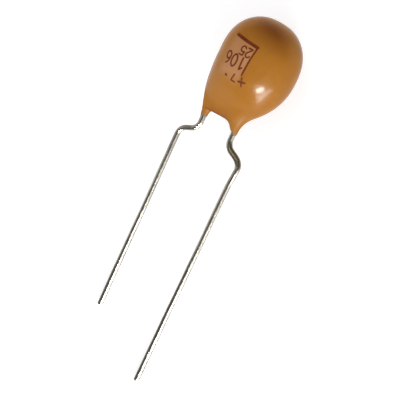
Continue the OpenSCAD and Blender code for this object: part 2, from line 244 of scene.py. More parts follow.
def ripple(points):
    """Slow waves left by the runny resin: the mean of three crossed sines, fading out on the horns."""
    waves = np.sin(points @ RIPPLE_WAVES.T + RIPPLE_STARTS)
    return RIPPLE * waves.mean(axis=1) * smooth_step(*RIPPLE_FADE, points[:, 2])


def skin_normal(points):
    """Outward directions of the drop's field, from differences over a hundredth of a millimetre."""
    step = 0.005
    x, y, z = points.T
    slope = np.stack(
        [
            drop_field(x + step, y, z) - drop_field(x - step, y, z),
            drop_field(x, y + step, z) - drop_field(x, y - step, z),
            drop_field(x, y, z + step) - drop_field(x, y, z - step),
        ],
        axis=1,
    )
    return slope / np.maximum(np.linalg.norm(slope, axis=1), 1e-9)[:, None]


# Distance round the waist from the middle of the marked face to the middle of the back.
WAIST_TURN = np.linspace(0, np.pi, 400)
waist_steps = np.hypot(np.diff(HALF_W * np.sin(WAIST_TURN)), np.diff(HALF_T * np.cos(WAIST_TURN)))
WAIST_ARC = np.concatenate([[0], np.cumsum(waist_steps)])


def level_size(z):
    """How large the egg's section is at a level, as a share of its waist: with u the distance
    from the waist as a share of the crown's or the foot's height, (1 - u^n)^(1/n)."""
    up = np.abs(z - WAIST_Z) / np.where(z > WAIST_Z, CROWN_H, FOOT_H)
    fullness = np.where(z > WAIST_Z, CROWN_FULLNESS, FOOT_FULLNESS)
    return (1 - np.minimum(up, 0.99) ** fullness) ** (1 / fullness)


def arc_of(points):
    """Distance round the egg from the middle of the marked face, toward the positive lead: the
    waist's own distance at that angle, times the size of the level's section."""
    x, y, z = points.T
    turn = np.arctan2((x - DROP_X) / HALF_W, -y / HALF_T)
    return np.sign(turn) * np.interp(np.abs(turn), WAIST_TURN, WAIST_ARC) * level_size(z)


resin_points, resin_film, resin_faces, SADDLE_Z = resin_mesh()
resin_normals = skin_normal(resin_points)
resin_arc = arc_of(resin_points)
resin_z = resin_points[:, 2]

# A paler field inside the corner of the printed bars, fading toward the negative side and the
# foot.  Its top and its positive side follow the bars, which stand a little askew.  Each pair
# gives where an edge starts and ends.
PATCH_LEFT = (-2.3, -1.2)
PATCH_LOW = (5.6, 7.0)
PATCH_TOP = (9.5, 9.38)
PATCH_RIGHT = (0.78, 0.58)
PATCH_FRONT = (0.2, -0.2)
PATCH_CORNER = (0.77, 9.5)
TOP_ASKEW = 0.07
SIDE_ASKEW = 0.077
along_top = resin_z - TOP_ASKEW * (PATCH_CORNER[0] - resin_arc)
along_side = resin_arc - SIDE_ASKEW * (resin_z - PATCH_CORNER[1])
resin_patch = smooth_step(*PATCH_LEFT, resin_arc) * smooth_step(*PATCH_LOW, resin_z)
resin_patch = resin_patch * smooth_step(*PATCH_TOP, along_top) * smooth_step(*PATCH_RIGHT, along_side)
resin_patch = resin_patch * smooth_step(*PATCH_FRONT, resin_points[:, 1])

# A browner spot on the crown's face, painted shade and a painted dark reflection where the least light
# falls: a bell curve across and deep.
SPOT_X = 1.55
SPOT_Y = -1.55
SPOT_W = 1.9
SPOT_D = 0.85
SPOT_LOW = (9.0, 10.0)
spot_across = (resin_points[:, 0] - SPOT_X) / SPOT_W
spot_deep = (resin_points[:, 1] - SPOT_Y) / SPOT_D
resin_crown_shade = np.exp(-(spot_across**2) - spot_deep**2) * smooth_step(*SPOT_LOW, resin_z)

# Painted shade on the rim of the arch, where the skin turns away from the light: skin that
# faces the leads, close over the saddle, and between the two horns.
RIM_FACING = (0.35, 0.95)
RIM_UP = (1.3, 0.1)
RIM_ACROSS = (1.7, 1.2)
resin_rim_shade = smooth_step(*RIM_FACING, -resin_normals[:, 2]) * smooth_step(*RIM_UP, resin_z - SADDLE_Z)
resin_rim_shade = resin_rim_shade * smooth_step(*RIM_ACROSS, np.abs(resin_points[:, 0]))

# The duller neck of the drop, down to both horns.
NECK = (4.6, 2.6)
resin_neck = smooth_step(*NECK, resin_z)


def linear(red, green, blue):
    """A colour written in the usual 0 to 255 steps, as the linear numbers that shaders take."""
    c = np.array([red, green, blue]) / 255
    return (*np.where(c <= 0.04045, c / 12.92, ((c + 0.055) / 1.055) ** 2.4), 1.0)


AMBER = linear(185, 122, 43)
AMBER_DEEP = linear(177, 114, 38)
PATCH_PALE = linear(194, 138, 92)
# Painted shade, for the arch's rim.
RIM_PAINTED_SHADE = linear(140, 72, 30)
# Painted shade and a painted dark reflection, for the crown's spot.
CROWN_PAINTED_SHADE = linear(136, 74, 20)
FILM_BROWN = linear(150, 118, 78)
RESIN_GLOSS = 0.08
NECK_DULLNESS = 0.3


def add_node(tree, kind, settings=None, **inputs):
    """A node with its settings and its input values or links.  An underscore stands for a space
    in an input's name, and i0, i1 and so on are inputs by number."""
    made = tree.nodes.new(kind)
    for key, value in (settings or {}).items():
        setattr(made, key, value)
    for key, value in inputs.items():
        numbered = key[0] == "i" and key[1:].isdigit()
        socket = made.inputs[int(key[1:]) if numbered else key.replace("_", " ")]
        if isinstance(value, bpy.types.NodeSocket):
            tree.links.new(value, socket)
        else:
            socket.default_value = value
    return made


def maths(tree, operation, first, second):
    """One operation on two values."""
    return add_node(tree, "ShaderNodeMath", {"operation": operation}, i0=first, i1=second).outputs[0]


def mix_colours(tree, share, first, second):
    """The first colour where share is 0, the second where it is 1."""
    made = add_node(tree, "ShaderNodeMix", {"data_type": "RGBA"}, i0=share, i6=first, i7=second)
    return made.outputs[2]


def read_value(tree, name):
    """The number that the mesh keeps for each vertex under this name."""
    return add_node(tree, "ShaderNodeAttribute", {"attribute_name": name}).outputs["Fac"]


FINER_TIMES = 7.0
NOISE_LOW = 0.33
NOISE_HIGH = 0.67


def make_mottle():
    """Broad noise and fine noise, shared out by Fineness, stretched from Low to High."""
    group = bpy.data.node_groups.new("mottle", "ShaderNodeTree")
    group.interface.new_socket("Vector", in_out="INPUT", socket_type="NodeSocketVector")
    for name in ("Scale", "Fineness", "Low", "High"):
        group.interface.new_socket(name, in_out="INPUT", socket_type="NodeSocketFloat")
    group.interface.new_socket("Value", in_out="OUTPUT", socket_type="NodeSocketFloat")
    given = group.nodes.new("NodeGroupInput").outputs
    place = given["Vector"]
    broad = add_node(group, "ShaderNodeTexNoise", Vector=place, Scale=given["Scale"], Detail=2.0)
    fine_scale = maths(group, "MULTIPLY", given["Scale"], FINER_TIMES)
    fine = add_node(group, "ShaderNodeTexNoise", Vector=place, Scale=fine_scale, Detail=3.0)
    both = add_node(
        group, "ShaderNodeMix", i0=given["Fineness"], i2=broad.outputs["Fac"], i3=fine.outputs["Fac"]
    ).outputs[0]
    spread = add_node(
        group, "ShaderNodeMapRange", {"clamp": True},
        Value=both, From_Min=NOISE_LOW, From_Max=NOISE_HIGH, To_Min=given["Low"], To_Max=given["High"],
    ).outputs[0]
    group.links.new(spread, group.nodes.new("NodeGroupOutput").inputs["Value"])
    return group


MOTTLE = make_mottle()


def mottle(tree, scale, fineness, low=0.0, high=1.0, vector=None):
    """One Mottle node, on Object coordinates unless a vector is given; returns its value."""
    if vector is None:
        vector = tree.nodes.new("ShaderNodeTexCoord").outputs["Object"]
    made = add_node(
        tree, "ShaderNodeGroup", {"node_tree": MOTTLE},
        Vector=vector, Scale=scale, Fineness=fineness, Low=low, High=high,
    )
    return made.outputs["Value"]


def new_material(name, colour_of, roughness_of, height_of, depth, **constants):
    """A Principled shader fed by three functions of its node tree.  The depth is the height of
    the bump in metres, and the constants are set on the shader's own sockets."""
    material = bpy.data.materials.new(name)
    material.use_nodes = True
    tree = material.node_tree
    shader = tree.nodes["Principled BSDF"]
    tree.links.new(colour_of(tree), shader.inputs["Base Color"])
    tree.links.new(roughness_of(tree), shader.inputs["Roughness"])
    bump = add_node(tree, "ShaderNodeBump", Height=height_of(tree), Strength=1.0, Distance=depth)
    tree.links.new(bump.outputs["Normal"], shader.inputs["Normal"])
    for key, value in constants.items():
        shader.inputs[key.replace("_", " ")].default_value = value
    return material


def resin_colour(tree):
    """Cloudy amber, browner on the crown's spot and the arch's rim with painted shade, with a painted
    dark reflection on the crown; paler in the patch and where the film ends.
    """
    body = mix_colours(tree, mottle(tree, 260, 0.25), AMBER, AMBER_DEEP)
    # The crown's spot: painted shade and a painted dark reflection.
    body = mix_colours(tree, read_value(tree, "crown"), body, CROWN_PAINTED_SHADE)
    pale_share = maths(tree, "MULTIPLY", read_value(tree, "patch"), mottle(tree, 700, 0.3, 0.75, 1.0))
    body = mix_colours(tree, pale_share, body, PATCH_PALE)
    # The arch's rim: painted shade.
    body = mix_colours(tree, read_value(tree, "rim"), body, RIM_PAINTED_SHADE)
    return mix_colours(tree, read_value(tree, "film"), body, FILM_BROWN)


def resin_roughness(tree):
    """A smooth skin, duller toward the neck."""
    duller = maths(tree, "MULTIPLY", read_value(tree, "neck"), NECK_DULLNESS)
    return maths(tree, "ADD", mottle(tree, 600, 0.3, 0.27, 0.33), duller)


def resin_height(tree):
    """Low, broad unevenness."""
    return mottle(tree, 420, 0.2)


resin = new_material(
    "resin",
    resin_colour,
    resin_roughness,
    resin_height,
    depth=0.000015,
    Specular_IOR_Level=0.09,
    Coat_Roughness=0.07,
    Subsurface_Weight=0.12,
    Subsurface_Scale=0.0006,
    Subsurface_Radius=(1.0, 0.35, 0.1),
)
tree = resin.node_tree
glossy_share = maths(tree, "SUBTRACT", 1.0, read_value(tree, "neck"))
glossy_skin = maths(tree, "MULTIPLY", glossy_share, RESIN_GLOSS)
tree.links.new(glossy_skin, tree.nodes["Principled BSDF"].inputs["Coat Weight"])

# The record's pins, one on each lead, say how the CAD pieces lie on the bench, and each new
# piece is laid the same way.
MM = 0.001
BOARD_X = 3.175
NEGATIVE_PIN_Z = -9.0
pins = {mount["name"]: mount for mount in frame["record"]["mounts"]}
negative_pin = np.array(pins["negative_pin"]["pos_m"]) / MM
positive_pin = np.array(pins["positive_pin"]["pos_m"]) / MM
bench_z = -np.array(pins["negative_pin"]["axis"])
bench_z = bench_z / np.linalg.norm(bench_z)
bench_x = positive_pin - negative_pin
bench_x = bench_x - (bench_x @ bench_z) * bench_z
bench_x = bench_x / np.linalg.norm(bench_x)
TURN = np.array([bench_x, np.cross(bench_z, bench_x), bench_z])
SHIFT = negative_pin - np.array([-BOARD_X, 0, NEGATIVE_PIN_Z]) @ TURN


def laid(points):
    """Upright points in millimetres as metres on the bench: turned by the pins' axes, then moved."""
    return (np.asarray(points) @ TURN + SHIFT) * MM


def new_piece(name, points, faces, material, replaced=()):
    """A smooth mesh object at the origin, from upright points and lists of vertex numbers."""
    mesh = bpy.data.meshes.new(name)
    mesh.from_pydata(laid(points).tolist(), [], faces)
    mesh.polygons.foreach_set("use_smooth", np.ones(len(mesh.polygons), bool))
    mesh.update()
    mesh.materials.append(material)
    piece = bpy.data.objects.new(name, mesh)
    bpy.context.scene.collection.objects.link(piece)
    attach(piece, "root")
    if replaced:
        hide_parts(*replaced)
    return piece


def add_values(piece, **kept):
    """Keeps one number for each vertex on the mesh under each name, for its material to read."""
    for name, values in kept.items():
        layer = piece.data.attributes.new(name, "FLOAT", "POINT")
        layer.data.foreach_set("value", np.asarray(values, np.float32))


rippled = resin_points + resin_normals * ripple(resin_points)[:, None]
coat = new_piece("resin_skin", rippled, resin_faces, resin, ["resin_coat"])
# The crown and rim values carry painted shade, and the crown's also a painted dark reflection.
add_values(coat, crown=resin_crown_shade, neck=resin_neck, patch=resin_patch, rim=resin_rim_shade, film=resin_film)


# ---- Printed marking ----
# Dark brown ink, stamped on the cured resin: a corner of two bars, two rows of plain figures,
# a plus sign beside the positive lead, a lone figure and a dot, with their heads to the leads.

# How high the ink stands on the skin, how deep its foot goes, its samples across and its step
# along, how far to each side a stroke's direction is read, and how blunt its very end is.
INK_H = 0.012
INK_ROOT = 0.012
INK_SAMPLES = 13
INK_STEP = 0.03
FEWEST_STEPS = 18
INK_LOOK = 0.02
BLUNT = 0.0004
# The waver of a stroke's edge: share of the width, speed along it, and shift from stroke to stroke.
EDGE_WAVES = ((0.05, 31, 2.3), (0.04, 73, 5.1))


def on_skin(arc, z, lift):
    """The skin's point at a distance round the egg and a height, raised by lift along its normal."""
    turn = np.sign(arc) * np.interp(np.abs(arc) / level_size(z), WAIST_ARC, WAIST_TURN)
    angle = np.arctan2(-HALF_T * np.cos(turn), HALF_W * np.sin(turn))
    radius = reach(DROP_X, angle, z, FAR)
    points = polar(DROP_X, angle, z, radius)
    return points + skin_normal(points) * (ripple(points) + lift)[:, None]


def stroke(path, width, seed):
    """One inked stroke: a low rounded strip along a path, with round ends and an edge that wavers
    by a twentieth of its width.  Its section is 1 - v⁴ above the skin and flat beneath it.
    Returns its points, its quads and its two end faces."""
    path = np.asarray(path, float)
    gone = np.concatenate([[0], np.cumsum(np.hypot(*np.diff(path, axis=0).T))])
    length = gone[-1] + width
    along = np.linspace(-width / 2, length - width / 2, max(FEWEST_STEPS, int(length / INK_STEP)))
    spots = np.clip(along, 0, gone[-1])

    def at(distance):
        """Points on the path at distances along it, held at its ends."""
        near = np.clip(distance, 0, gone[-1])
        return np.stack([np.interp(near, gone, path[:, 0]), np.interp(near, gone, path[:, 1])], axis=1)

    tangent = at(spots + INK_LOOK) - at(spots - INK_LOOK)
    tangent = tangent / np.linalg.norm(tangent, axis=1)[:, None]
    centre = at(spots) + tangent * (along - spots)[:, None]
    past = np.abs(along - spots) / (width / 2)
    half = width / 2 * np.sqrt(np.clip(1 - past**2, BLUNT, 1))
    waver = sum(share * np.sin(along * speed + seed * shift) for share, speed, shift in EDGE_WAVES)
    half = half * (1 + waver)
    v = np.linspace(-1, 1, INK_SAMPLES)
    across = np.stack([-tangent[:, 1], tangent[:, 0]], axis=1)
    top = centre[:, None, :] + across[:, None, :] * (half[:, None] * v)[:, :, None]
    lift = INK_H * (1 - v**4)[None, :] * np.minimum(half / (width / 2), 1)[:, None]
    grid = np.concatenate([top, top[:, ::-1][:, 1:-1]], axis=1)
    lifts = np.concatenate([lift, np.full((len(half), INK_SAMPLES - 2), -INK_ROOT)], axis=1)
    points = on_skin(grid[:, :, 0].ravel(), grid[:, :, 1].ravel(), lifts.ravel())
    numbers = np.arange(len(points)).reshape(-1, grid.shape[1])
    quads = np.concatenate([band(numbers[i], numbers[i + 1]) for i in range(len(numbers) - 1)])
    return points, quads, np.stack([numbers[0][::-1], numbers[-1]])


def bend(centre, radii, start, end, count=15):
    """Points on an ellipse between two angles in degrees; 0 is to the right and 90 is up."""
    a = np.radians(np.linspace(start, end, count))
    return np.stack([centre[0] + radii[0] * np.cos(a), centre[1] + radii[1] * np.sin(a)], axis=1)


# Each figure is a list of strokes in a box one unit wide and one unit high, foot at 0.  Its
# place on the face is (distance round from the middle, height) in millimetres.
TWO_BOWL = bend((0.5, 0.72), (0.46, 0.28), 165, -25)
FIVE_BOWL = bend((0.48, 0.32), (0.5, 0.32), 130, -150)
SIX_STEM = bend((0.75, 0.42), (0.72, 0.58), 105, 180, 9)
SIX_BOWL = bend((0.5, 0.3), (0.48, 0.3), 180, 530, 27)
FIGURES = {
    "0": [bend((0.5, 0.5), (0.5, 0.5), 90, 450, 33)],
    "1": [[(0.1, 0.78), (0.5, 1.0), (0.5, 0.0)]],
    "2": [np.concatenate([TWO_BOWL, [(0.0, 0.0), (1.0, 0.0)]])],
    "5": [np.concatenate([[(0.95, 1.0), (0.15, 1.0), (0.08, 0.56)], FIVE_BOWL])],
    "6": [np.concatenate([SIX_STEM, SIX_BOWL])],
    "7": [[(0.0, 1.0), (1.0, 1.0), (0.38, 0.0)]],
    "+": [[(0.0, 0.5), (1.0, 0.5)], [(0.5, 0.0), (0.5, 1.0)]],
    ".": [[(0.42, 0.5), (0.58, 0.5)]],
}


def figure(mark, middle, width, height, line, turn):
    """The strokes of one figure on the face: its own right is toward the negative side and its
    head toward the leads, and it is turned about its middle by a few degrees."""
    a = np.radians(turn)
    for points in FIGURES[mark]:
        right = (np.asarray(points)[:, 0] - 0.5) * width
        up = (np.asarray(points)[:, 1] - 0.5) * height
        arc = middle[0] - (right * np.cos(a) - up * np.sin(a))
        z = middle[1] - (right * np.sin(a) + up * np.cos(a))
        yield np.stack([arc, z], axis=1), line


BAR_CORNER = (0.77, 9.55)
BAR_END = (-1.6, 9.71)
THIN_BAR_END = (0.58, 7.06)
BAR_LINE = 0.25
THIN_BAR_LINE = 0.15
# Figure, middle, width, height, width of its line, and turn in degrees.
PLACED_FIGURES = (
    ("1", (0.13, 7.88), 0.52, 1.0, 0.15, 0),
    ("0", (-0.56, 7.86), 0.5, 1.0, 0.15, 0),
    ("6", (-1.27, 7.83), 0.5, 1.0, 0.15, 0),
    ("2", (0.33, 8.88), 0.42, 0.72, 0.13, 0),
    ("5", (-0.24, 8.86), 0.42, 0.72, 0.13, 0),
    ("+", (0.76, 6.54), 0.62, 0.7, 0.17, 12),
    ("7", (-0.07, 6.58), 0.42, 0.6, 0.13, 0),
    (".", (-0.86, 6.48), 0.5, 0.5, 0.2, 0),
)
marks = [([BAR_CORNER, BAR_END], BAR_LINE), ([BAR_CORNER, THIN_BAR_END], THIN_BAR_LINE)]
for placed in PLACED_FIGURES:
    marks += figure(*placed)

ink_points = np.empty((0, 3))
ink_faces = []
for seed, (path, width) in enumerate(marks):
    points, quads, ends = stroke(path, width, seed)
    ink_faces += (quads + len(ink_points)).tolist() + (ends + len(ink_points)).tolist()
    ink_points = np.concatenate([ink_points, points])

INK = linear(104, 34, 2)
INK_THIN = linear(132, 58, 14)
ink = new_material(
    "marking_ink",
    lambda tree: mix_colours(tree, mottle(tree, 2500, 0.5), INK, INK_THIN),
    lambda tree: mottle(tree, 1500, 0.5, 0.4, 0.6),
    lambda tree: mottle(tree, 4000, 0.6),
    depth=0.000004,
    Specular_IOR_Level=0.15,
)
new_piece("printed_marking", ink_points, ink_faces, ink)


# ---- Leads ----
# Two drawn wires, dipped in tin.  A tool squeezed each one into a kink that stops the part
# above the board, and left the corners out of round and browner.  Shears cut the tips.
KINK_RISE = 0.74
KINK_R = 0.95
NEGATIVE_LEN = 17.6
POSITIVE_LEN = 21.45
POSITIVE_TOP = 5.2
NEGATIVE_TOP = 8.6
# From WELD_FOOT up, the positive lead is pressed flat where the riser wire is welded to it.
WELD_FOOT = 4.0
WELD_FACE_X = 1.36756
KINK_ANGLE = np.arctan2(BOARD_X - EXIT_X, KINK_RISE)
KINK_TANGENT = KINK_R * np.tan(KINK_ANGLE / 2)
AROUND = 36
ARC_POINTS = 22
SLOPE_POINTS = 12
HIGH_POINTS = 40
STEP_LONG = 0.2
TIP_STEPS = [0, 0.012, 0.03, 0.05, 0.08, 0.14]
TIP_ROUNDING = 0.05
TIP_SLANT = 0.03
# The line's two slow sines: how far they reach, how fast they run, and their start on each lead.
WANDER = ((0.008, 0.55, 1), (0.005, 1.3, 2))
WANDER_FADE = (0.0, 1.5)
DRAWN_DEPTH = 0.006
DRAWN_SPEED = 2.1
CORNER_EDGE = (0, 0.5)
CORNER_BLUR = 3
SPRING_Z = -0.5
SPRING_SPREAD = 1.1
SPRING_SIDE = (1.6, 2.8)
NICK_SIZE = 0.05
NICK_TURN = 0.12
NICK_DEPTH = 0.16


def lead_line(length, top):
    """The wire's centre line in its own plane, tip first, and each point's direction of travel:
    straight, arc, slope, arc, straight."""
    first = np.array([BOARD_X - KINK_R, -KINK_TANGENT])
    second = np.array([EXIT_X + KINK_R, KINK_RISE + KINK_TANGENT])
    turning = np.linspace(0, KINK_ANGLE, ARC_POINTS)
    tip = np.concatenate([TIP_STEPS, np.arange(0.3, length - KINK_TANGENT, STEP_LONG)])
    low = np.stack([np.full(len(tip), BOARD_X), tip - length], axis=1)
    arc_one = first + KINK_R * np.stack([np.cos(turning), np.sin(turning)], axis=1)
    arc_two = second - KINK_R * np.stack([np.cos(turning[::-1]), np.sin(turning[::-1])], axis=1)
    slope_share = np.linspace(0, 1, SLOPE_POINTS)[1:-1, None]
    slope = arc_one[-1] + (arc_two[0] - arc_one[-1]) * slope_share
    rise = np.linspace(KINK_RISE + KINK_TANGENT, top, HIGH_POINTS)[1:]
    high = np.stack([np.full(len(rise), EXIT_X), rise], axis=1)
    heading = np.concatenate(
        [np.zeros(len(low)), turning, np.full(len(slope), KINK_ANGLE), turning[::-1], np.zeros(len(high))]
    )
    return np.concatenate([low, arc_one, slope, arc_two, high]), heading


def lead_mesh(side, length, top, squeeze, spring, nick):
    """A tube round the centre line.  At the corners its radius changes by the squeeze across the
    kink's plane and shrinks by it in depth; it dips at the tool's nick, and rounds off and
    slants at the sheared tip.  The line wanders by two slow sines on its long run, and springs
    out past the lower corner as a bell curve of its height.
    Returns points, faces, places round and along the wire, and shares of kink and of nick."""
    line, heading = lead_line(length, top)
    line_z = line[:, 1]
    gone = np.concatenate([[0], np.cumsum(np.hypot(*np.diff(line, axis=0).T))])
    kinked = smooth_step(*CORNER_EDGE, np.sin(np.pi * heading / KINK_ANGLE / 2)) * (heading > 0)
    blur = np.ones(2 * CORNER_BLUR + 1) / (2 * CORNER_BLUR + 1)
    kinked = np.convolve(np.pad(kinked, CORNER_BLUR, mode="edge"), blur, mode="valid")
    angle = 2 * np.pi * np.arange(AROUND) / AROUND
    cosine = np.cos(angle)[None, :]
    sine = np.sin(angle)[None, :]

    wobble = sum(far * np.sin(gone * speed + start * side) for far, speed, start in WANDER)
    wobble = wobble * smooth_step(*WANDER_FADE, -KINK_TANGENT - line_z)
    sprung = np.exp(-(((line_z - SPRING_Z) / SPRING_SPREAD) ** 2)) * smooth_step(*SPRING_SIDE, line[:, 0])
    wobble = wobble + spring * sprung
    drawn = 1 + DRAWN_DEPTH * np.sin(gone * DRAWN_SPEED + side)
    short = (TIP_ROUNDING - np.minimum(gone, TIP_ROUNDING)) / (1.2 * TIP_ROUNDING)
    tip = np.sqrt(np.clip(1 - short**2, 0, 1))
    wide = WIRE_R * drawn * tip * (1 + squeeze * kinked)
    deep = WIRE_R * drawn * tip * (1 - abs(squeeze) * kinked)
    nick_along, nick_angle = nick
    dent = np.exp(-(((gone[:, None] - nick_along) / NICK_SIZE) ** 2))
    dent = dent * np.exp(-((np.cos((angle - nick_angle) / 2) ** 2 - 1) / NICK_TURN) ** 2)
    scale = 1 - NICK_DEPTH * dent

    out = cosine * wide[:, None] * scale
    back = sine * deep[:, None] * scale
    slant = TIP_SLANT * cosine * np.exp(-gone[:, None] / TIP_ROUNDING)
    turned = heading[:, None]
    x = line[:, :1] + wobble[:, None] + out * np.cos(turned)
    z = line[:, 1:] + out * np.sin(turned) + slant
    points = np.stack([side * x, back, z], axis=2).reshape(-1, 3)
    if side > 0:
        pressed = points[:, 2] > WELD_FOOT
        points[:, 0] = np.where(pressed, np.maximum(points[:, 0], WELD_FACE_X), points[:, 0])

    rings = np.arange(len(points)).reshape(-1, AROUND)
    tip_pole = [side * line[0, 0], 0, line_z[0]]
    top_pole = [side * line[-1, 0], 0, top]
    quads = np.concatenate([band(rings[i], rings[i + 1]) for i in range(len(rings) - 1)])
    ends = np.concatenate([fan(rings[0][::-1], len(points)), fan(rings[-1], len(points) + 1)])
    points = np.concatenate([points, [tip_pole, top_pole]])
    points[:, 2] = np.maximum(points[:, 2], -length)
    if side < 0:
        quads = quads[:, ::-1]
        ends = ends[:, ::-1]
    wrap = np.stack(np.broadcast_arrays(cosine, sine, gone[:, None]), axis=2).reshape(-1, 3)
    wrap = np.concatenate([wrap, [[0, 0, 0], [0, 0, gone[-1]]]])
    kinks = np.append(np.repeat(kinked, AROUND), [0, 0])
    return points, quads.tolist() + ends.tolist(), wrap, kinks, np.append(dent.ravel(), [0, 0])


TIN = linear(190, 186, 177)
TIN_DULL = linear(150, 145, 133)
KINK_BROWN = linear(156, 145, 118)
NICK_DARK = linear(70, 62, 44)
DRAWN_OUT = (1.0, 1.0, 0.12)
KINK_DULLNESS = 0.04


def drawn_vector(tree):
    """Coordinates round and along the wire, stretched so that noise becomes drawing lines."""
    read = add_node(tree, "ShaderNodeAttribute", {"attribute_name": "wrap"}).outputs["Vector"]
    made = add_node(tree, "ShaderNodeVectorMath", {"operation": "MULTIPLY"}, i0=read, i1=DRAWN_OUT)
    return made.outputs[0]


def tin_colour(tree):
    """Bright and dull tin in drawn streaks, browner where the tool bent it and dark in the nick."""
    body = mix_colours(tree, mottle(tree, 1.6, 0.4, vector=drawn_vector(tree)), TIN, TIN_DULL)
    brown_share = maths(tree, "MULTIPLY", read_value(tree, "kinked"), mottle(tree, 900, 0.5, 0.45, 1.0))
    body = mix_colours(tree, brown_share, body, KINK_BROWN)
    return mix_colours(tree, read_value(tree, "nicked"), body, NICK_DARK)


def tin_roughness(tree):
    """Smooth tin in drawn streaks, a little duller at the kink."""
    base = mottle(tree, 2.4, 0.5, 0.12, 0.22, vector=drawn_vector(tree))
    return maths(tree, "ADD", base, maths(tree, "MULTIPLY", read_value(tree, "kinked"), KINK_DULLNESS))


tinned_wire = new_material(
    "tinned_wire",
    tin_colour,
    tin_roughness,
    lambda tree: mottle(tree, 2.0, 0.5, vector=drawn_vector(tree)),
    depth=0.000006,
    Metallic=1.0,
)


def add_vectors(piece, name, vectors):
    """Keeps three numbers for each vertex on the mesh, for its material to read."""
    layer = piece.data.attributes.new(name, "FLOAT_VECTOR", "POINT")
    layer.data.foreach_set("vector", np.asarray(vectors, np.float32).ravel())


# A nick is (distance from the tip, angle round the wire); the tool slipped on the positive
# lead, just above the kink's upper corner.
SLOPE = np.hypot(BOARD_X - EXIT_X, KINK_RISE) - 2 * KINK_TANGENT
BENT_LENGTH = 2 * KINK_R * KINK_ANGLE + SLOPE
POSITIVE_NICK = (POSITIVE_LEN - KINK_TANGENT + BENT_LENGTH + 0.02, np.radians(238))
NO_NICK = (-9.0, 0.0)
# Node, side, length, top, squeeze of the corners, spring past the lower one, browning and nick.
for name, side, length, top, squeeze, spring, browned, nick in (
    ("positive_lead", 1, POSITIVE_LEN, POSITIVE_TOP, 0.14, 0.12, 1.0, POSITIVE_NICK),
    ("negative_lead", -1, NEGATIVE_LEN, NEGATIVE_TOP, -0.06, 0.0, 0.35, NO_NICK),
):
    points, faces, wrap, kinks, dent = lead_mesh(side, length, top, squeeze, spring, nick)
    wire = new_piece(name + "_wire", points, faces, tinned_wire, [name])
    add_vectors(wire, "wrap", wrap)
    add_values(wire, kinked=kinks * browned, nicked=dent)


# ---- Sealed pieces ----
# Inside the resin: the sintered slug, the wire it grew on, its washer, and the layers baked,
# dipped and painted over it.  They keep the CAD shapes and get the finish of each material.
def inner_material(name, light, dark, rough_low, rough_high, grain, depth, **constants):
    """A matt grainy finish between two colours; grain is the number of grains in a metre."""
    return new_material(
        name,
        lambda tree: mix_colours(tree, mottle(tree, grain, 0.5), light, dark),
        lambda tree: mottle(tree, grain, 0.6, rough_low, rough_high),
        lambda tree: mottle(tree, grain * 2, 0.6),
        depth,
        **constants,
    )


TANTALUM = (linear(88, 90, 96), linear(60, 61, 66))
TANTALUM_WIRE = (linear(140, 144, 152), linear(112, 116, 126))
WASHER_WHITE = (linear(238, 237, 232), linear(224, 222, 214))
DIOXIDE_BLACK = (linear(34, 31, 31), linear(20, 18, 18))
GRAPHITE_GREY = (linear(62, 62, 64), linear(42, 42, 44))
SILVER_PAINT = (linear(200, 199, 195), linear(170, 168, 162))
SOLDER_GREY = (linear(186, 188, 190), linear(150, 151, 152))
# Node, its two colours, roughness from and to, grains in a metre, height of the grain, metal.
INNER = (
    ("anode_slug", TANTALUM, 0.6, 0.8, 3000, 0.00002, 0.6),
    ("riser_wire", TANTALUM_WIRE, 0.25, 0.4, 1500, 0.000005, 1.0),
    ("insulating_washer", WASHER_WHITE, 0.4, 0.55, 1200, 0.000005, 0.0),
    ("dioxide_skin", DIOXIDE_BLACK, 0.7, 0.9, 5000, 0.00002, 0.0),
    ("graphite_coat", GRAPHITE_GREY, 0.5, 0.7, 2500, 0.00001, 0.0),
    ("silver_coat", SILVER_PAINT, 0.45, 0.6, 2000, 0.00001, 0.7),
    ("solder_coat", SOLDER_GREY, 0.28, 0.45, 900, 0.00001, 1.0),
)
for name, (light, dark), rough_low, rough_high, grain, depth, metal in INNER:
    finish = inner_material(name, light, dark, rough_low, rough_high, grain, depth, Metallic=metal)
    inner = frame["nodes"][name]
    inner.data.materials.clear()
    inner.data.materials.append(finish)


# ---- Bench and light ----
# A plain white bench under a key lamp beyond the leads on the positive side, with two more
# lamps there that only show as the drop's highlight and a weak fill beyond the crown.  Panels
# and small cards to both sides and above draw the bright lines on the wires; the rest is dim.
BENCH_HALF = 1.5
BENCH_GREY = (0.55, 0.55, 0.55, 1)
BENCH_BRIGHT = (0.6, 0.6, 0.6, 1)
BENCH_GLOW = 0.62
corner_signs = np.array([[-1, -1, 0], [1, -1, 0], [1, 1, 0], [-1, 1, 0]])
bench_mesh = bpy.data.meshes.new("bench")
bench_mesh.from_pydata((BENCH_HALF * corner_signs).tolist(), [], [(0, 1, 2, 3)])
bench = bpy.data.objects.new("bench", bench_mesh)
bpy.context.scene.collection.objects.link(bench)

# What the camera sees of the bench, straight or in metal, is white; the object is lit by its
# plain grey.
paper = bpy.data.materials.new("bench_paper")
paper.use_nodes = True
tree = paper.node_tree
tree.nodes.clear()
rays = tree.nodes.new("ShaderNodeLightPath").outputs
lit = add_node(tree, "ShaderNodeBsdfDiffuse", Color=BENCH_GREY).outputs[0]
bright = add_node(tree, "ShaderNodeBsdfDiffuse", Color=BENCH_BRIGHT).outputs[0]
glow = add_node(tree, "ShaderNodeEmission", Color=(1, 1, 1, 1), Strength=BENCH_GLOW).outputs[0]
shown = add_node(tree, "ShaderNodeAddShader", i0=bright, i1=glow).outputs[0]
seen = maths(tree, "MAXIMUM", rays["Is Camera Ray"], rays["Is Glossy Ray"])
seen = maths(tree, "MAXIMUM", seen, rays["Is Transmission Ray"])
either = add_node(tree, "ShaderNodeMixShader", i0=seen, i1=lit, i2=shown).outputs[0]
tree.links.new(either, tree.nodes.new("ShaderNodeOutputMaterial").inputs["Surface"])
bench_mesh.materials.append(paper)


